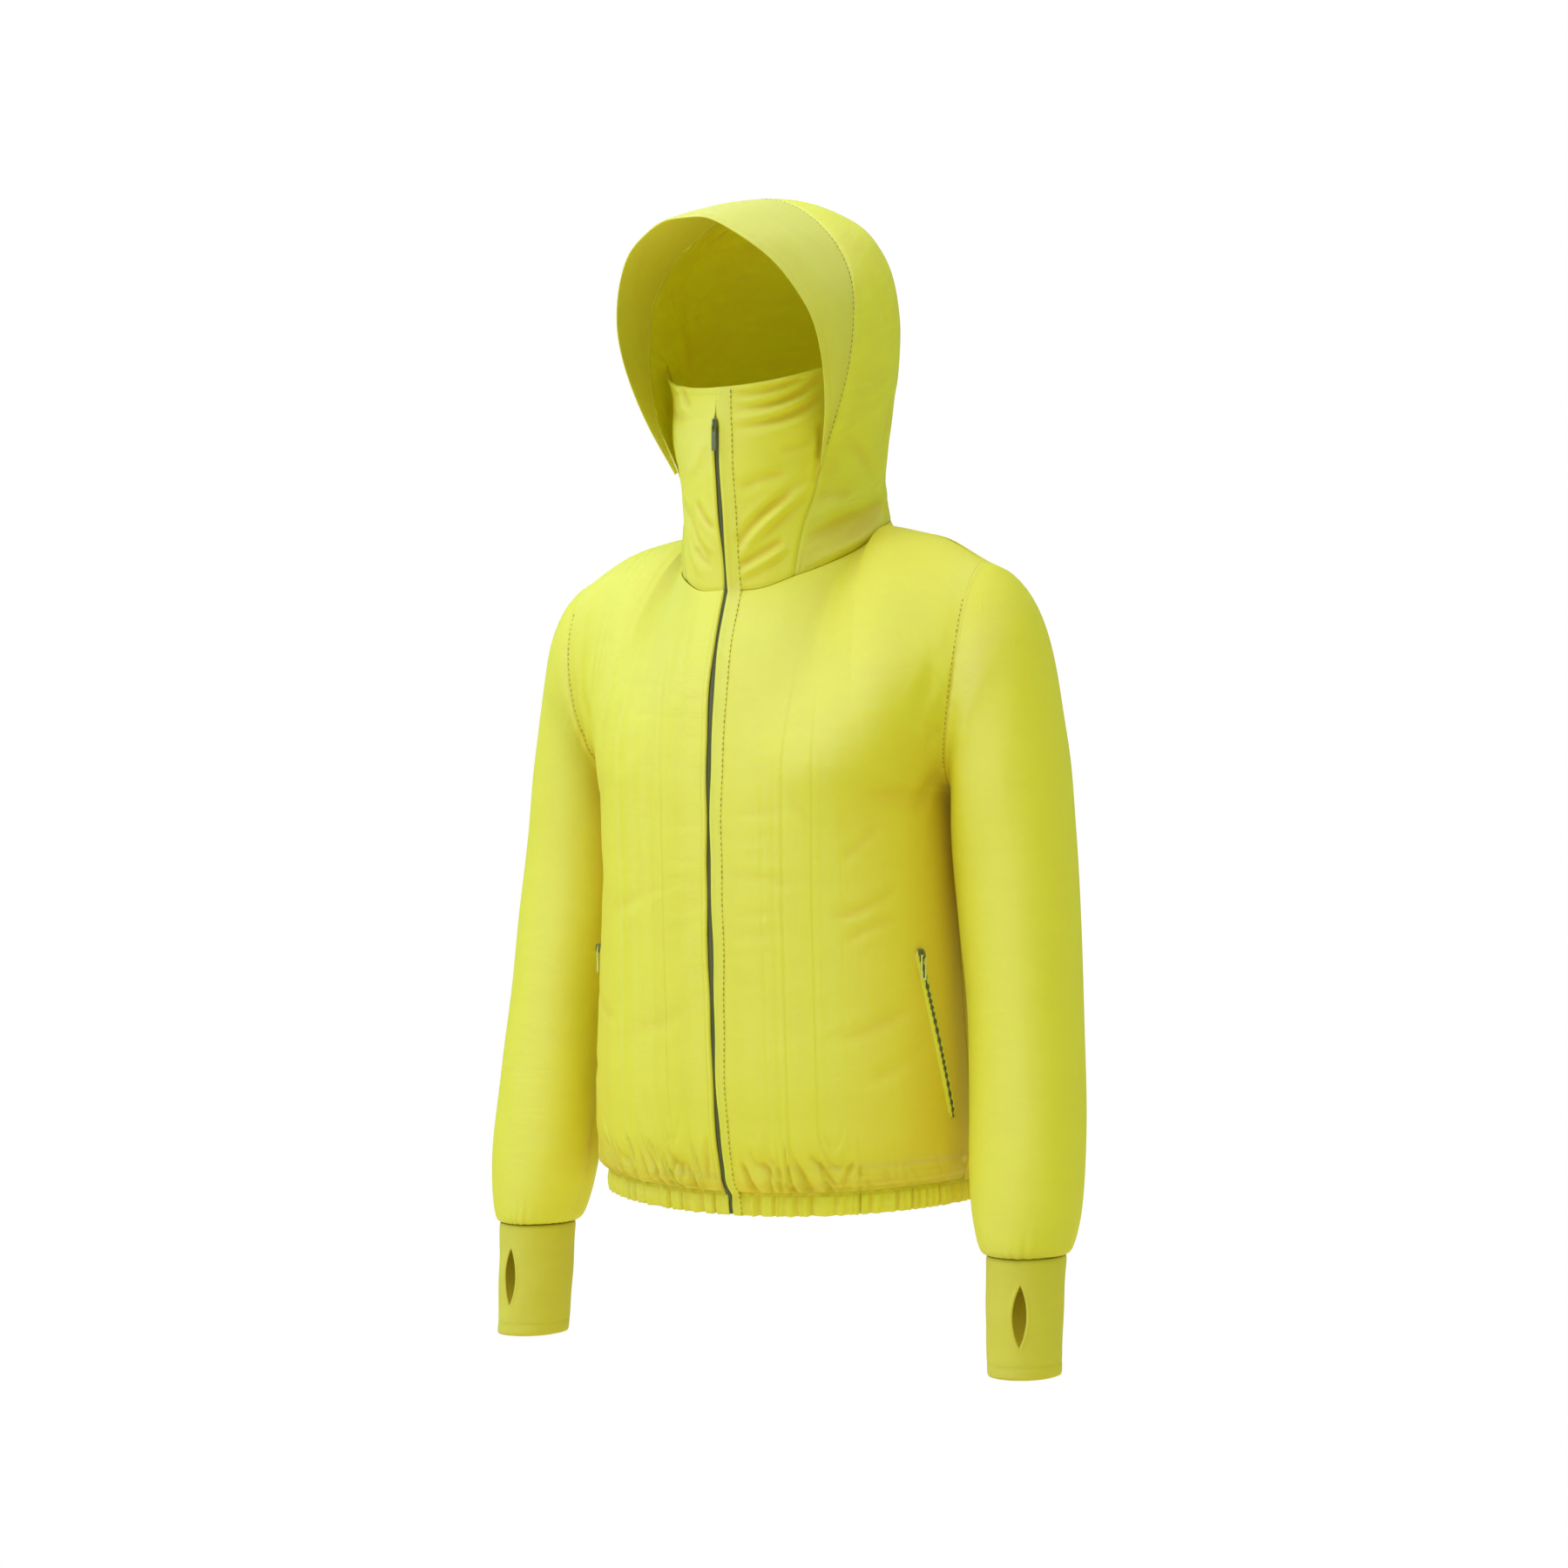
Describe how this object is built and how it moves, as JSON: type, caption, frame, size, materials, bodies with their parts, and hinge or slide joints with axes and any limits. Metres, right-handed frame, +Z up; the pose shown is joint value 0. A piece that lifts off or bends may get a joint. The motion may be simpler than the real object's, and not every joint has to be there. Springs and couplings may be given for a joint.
{
  "type": "hooded zip jacket with a face mask collar",
  "caption": "Loose light hooded jacket with a full-length front zip, a high mask collar, a deep hood brim, a gathered hem band, zipped pockets and thumb-hole cuffs, filled out with no wearer.",
  "frame": {"origin": "between the shoulders, in the plane of the zip, at the height where the shoulder seams meet the neck: where the wearer's shoulders hold the jacket up", "axes": "+Z up, towards the hood; -Y out of the jacket's front; +X towards the jacket's own left sleeve"},
  "size_m": [0.582, 0.3159, 1.0301],
  "materials": {
    "shell_cloth": "thin crisp woven cloth, yellow-green, faint sheen, fine crinkle",
    "brim_cloth": "the same colour, greyer and duller, smooth over a stiffer layer",
    "stretch_cloth": "soft stretch knit, matt",
    "zip_coil": "grey-olive nylon coil and tape edge",
    "slider_metal": "dark painted die-cast slider and pull",
    "pull_loop": "moulded loop in the cloth's colour"
  },
  "bodies": {
    "jacket": {"front_left": "shell_cloth", "front_right": "shell_cloth", "back": "shell_cloth", "hem_band": "shell_cloth", "sleeve_left": "shell_cloth", "sleeve_right": "shell_cloth", "hood_left": "shell_cloth", "hood_right": "shell_cloth", "mask_left": "shell_cloth", "mask_right": "shell_cloth", "placket": "shell_cloth", "hood_brim": "brim_cloth", "cuff_left": "stretch_cloth", "cuff_right": "stretch_cloth", "front_zip": "zip_coil", "pocket_zip_left": "zip_coil", "pocket_zip_right": "zip_coil", "front_zip_slider": "slider_metal", "pocket_zip_left_slider": "slider_metal", "pocket_zip_right_slider": "slider_metal"},
    "main_pull": {"front_zip_pull": "slider_metal"},
    "pocket_pull_left": {"pocket_zip_left_pull": "pull_loop"},
    "pocket_pull_right": {"pocket_zip_right_pull": "pull_loop"}
  },
  "joints": [
    {"name": "main_pull_swing", "type": "hinge", "parent": "jacket", "child": "main_pull", "pos_m": [0, -0.14033, 0.0732], "axis": [-1, 0, 0], "range_deg": [0, 150]},
    {"name": "pocket_pull_left_swing", "type": "hinge", "parent": "jacket", "child": "pocket_pull_left", "pos_m": [0.16411, -0.0631, -0.38552], "axis": [-0.3742, -0.9273, 0], "range_deg": [0, 150]},
    {"name": "pocket_pull_right_swing", "type": "hinge", "parent": "jacket", "child": "pocket_pull_right", "pos_m": [-0.16411, -0.0631, -0.38552], "axis": [-0.3742, 0.9273, 0], "range_deg": [0, 150]}
  ]
}
